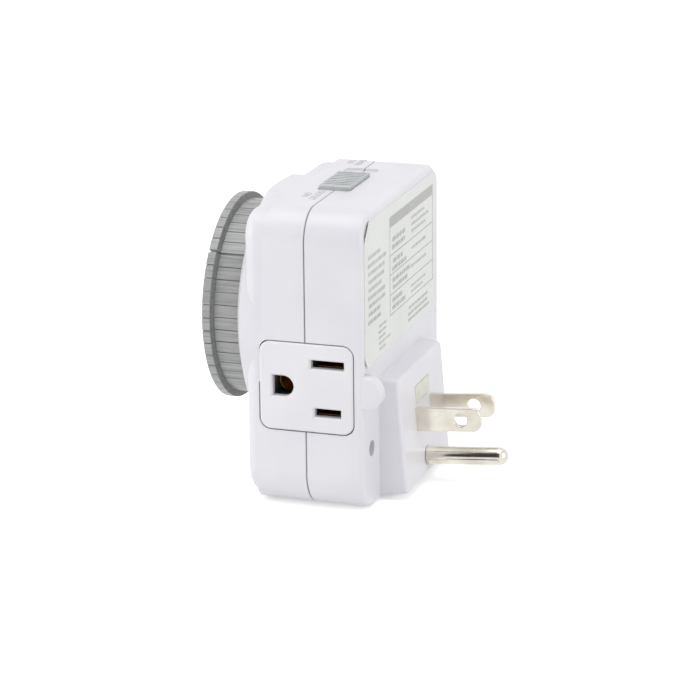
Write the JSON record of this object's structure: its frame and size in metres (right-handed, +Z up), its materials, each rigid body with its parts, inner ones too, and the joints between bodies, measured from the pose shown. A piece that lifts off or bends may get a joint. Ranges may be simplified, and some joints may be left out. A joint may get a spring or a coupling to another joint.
{
  "type": "plug-in timer switch",
  "caption": "Plug-in mechanical timer: round dial with sliding trippers, slide switch on top, side receptacles and a grounded plug on the back.",
  "frame": {"origin": "on the flat base of the case, on the seam between the two shells, in the middle of the width", "axes": "+Z up, +Y towards the wall along the prongs' side, -Y towards the dial, +X towards the right receptacle"},
  "size_m": [0.0666, 0.0739, 0.0794],
  "materials": {
    "case_plastic": "semi gloss moulded",
    "tripper_plastic": "satin",
    "switch_plastic": "satin",
    "dial_plastic": "satin",
    "prong_metal": "nickel plated",
    "contact_brass": "stamped",
    "gear_plastic": "natural acetal",
    "switch_case_plastic": "black moulded",
    "label_sheet": "film",
    "lead_insulation": "extruded",
    "inner_steel": "zinc plated"
  },
  "bodies": {
    "case": {"bypass_base": "switch_case_plastic", "bypass_terminals": "contact_brass", "case_screws": "inner_steel", "centre_cap": "dial_plastic", "date_sticker": "label_sheet", "front_shell": "case_plastic", "ground_bus": "contact_brass", "ground_pin": "prong_metal", "hot_blade": "prong_metal", "hub_screw": "inner_steel", "left_outlet_face": "case_plastic", "lever_pin": "inner_steel", "line_strip": "contact_brass", "load_bus": "contact_brass", "microswitch_case": "switch_case_plastic", "microswitch_terminals": "contact_brass", "motor_can": "inner_steel", "motor_end_plate": "inner_steel", "motor_leads": "lead_insulation", "motor_screws": "inner_steel", "movement_plate": "gear_plastic", "neutral_blade": "prong_metal", "neutral_bus": "contact_brass", "plate_screws": "inner_steel", "rating_label": "label_sheet", "rear_shell": "case_plastic", "right_outlet_face": "case_plastic", "wheel_axle": "inner_steel"},
    "dial": {"dial_wheel": "dial_plastic", "hour_ring": "dial_plastic", "other_trippers": "tripper_plastic"},
    "clutch": {"clutch_pinion": "gear_plastic", "reduction_wheel": "gear_plastic", "clutch_washer": "inner_steel"},
    "motor_shaft": {"motor_pinion": "gear_plastic"},
    "trip_lever": {"trip_lever": "gear_plastic"},
    "microswitch_button": {"microswitch_button": "switch_case_plastic"},
    "slide_switch": {"mode_slider": "switch_plastic", "bridge_contact": "contact_brass"},
    "tripper_01": {"tripper_01": "tripper_plastic"},
    "tripper_02": {"tripper_02": "tripper_plastic"},
    "tripper_03": {"tripper_03": "tripper_plastic"},
    "tripper_04": {"tripper_04": "tripper_plastic"},
    "tripper_05": {"tripper_05": "tripper_plastic"},
    "tripper_06": {"tripper_06": "tripper_plastic"},
    "tripper_07": {"tripper_07": "tripper_plastic"},
    "tripper_08": {"tripper_08": "tripper_plastic"},
    "tripper_09": {"tripper_09": "tripper_plastic"},
    "tripper_10": {"tripper_10": "tripper_plastic"},
    "tripper_11": {"tripper_11": "tripper_plastic"},
    "tripper_12": {"tripper_12": "tripper_plastic"}
  },
  "joints": [
    {"name": "dial_turn", "type": "hinge", "parent": "case", "child": "dial", "pos_m": [0, -0.02, 0.04645], "axis": [0, -1, 0], "continuous": true},
    {"name": "clutch_turn", "type": "hinge", "parent": "case", "child": "clutch", "pos_m": [0.01171, -0.012, 0.05946], "axis": [0, -1, 0], "continuous": true},
    {"name": "motor_turn", "type": "hinge", "parent": "case", "child": "motor_shaft", "pos_m": [0.00197, -0.012, 0.05383], "axis": [0, -1, 0], "continuous": true},
    {"name": "trip_lever_rock", "type": "hinge", "parent": "case", "child": "trip_lever", "pos_m": [-0.015, -0.0112, 0.0575], "axis": [-1, 0, 0], "range_deg": [0, 8]},
    {"name": "microswitch_press", "type": "slide", "parent": "case", "child": "microswitch_button", "axis": [0, 1, 0], "range_m": [0, 0.000672], "stiffness_N_per_m": 60, "springref_m": -0.0005},
    {"name": "slide_switch_slide", "type": "slide", "parent": "case", "child": "slide_switch", "axis": [-1, 0, 0], "range_m": [0, 0.0064]},
    {"name": "tripper_01_push", "type": "slide", "parent": "dial", "child": "tripper_01", "axis": [0, 1, 0], "range_m": [0, 0.003]},
    {"name": "tripper_02_push", "type": "slide", "parent": "dial", "child": "tripper_02", "axis": [0, 1, 0], "range_m": [0, 0.003]},
    {"name": "tripper_03_push", "type": "slide", "parent": "dial", "child": "tripper_03", "axis": [0, 1, 0], "range_m": [0, 0.003]},
    {"name": "tripper_04_push", "type": "slide", "parent": "dial", "child": "tripper_04", "axis": [0, 1, 0], "range_m": [0, 0.003]},
    {"name": "tripper_05_push", "type": "slide", "parent": "dial", "child": "tripper_05", "axis": [0, 1, 0], "range_m": [0, 0.003]},
    {"name": "tripper_06_push", "type": "slide", "parent": "dial", "child": "tripper_06", "axis": [0, 1, 0], "range_m": [0, 0.003]},
    {"name": "tripper_07_push", "type": "slide", "parent": "dial", "child": "tripper_07", "axis": [0, 1, 0], "range_m": [0, 0.003]},
    {"name": "tripper_08_push", "type": "slide", "parent": "dial", "child": "tripper_08", "axis": [0, 1, 0], "range_m": [0, 0.003]},
    {"name": "tripper_09_push", "type": "slide", "parent": "dial", "child": "tripper_09", "axis": [0, 1, 0], "range_m": [0, 0.003]},
    {"name": "tripper_10_push", "type": "slide", "parent": "dial", "child": "tripper_10", "axis": [0, 1, 0], "range_m": [0, 0.003]},
    {"name": "tripper_11_push", "type": "slide", "parent": "dial", "child": "tripper_11", "axis": [0, 1, 0], "range_m": [0, 0.003]},
    {"name": "tripper_12_push", "type": "slide", "parent": "dial", "child": "tripper_12", "axis": [0, 1, 0], "range_m": [0, 0.003]}
  ],
  "couplings": [
    {"joint": "clutch_turn", "follows": "dial_turn", "ratio": 6},
    {"joint": "motor_turn", "follows": "dial_turn", "ratio": -24},
    {"joint": "trip_lever_rock", "follows": "microswitch_press", "rad_per_m": 181.82}
  ]
}
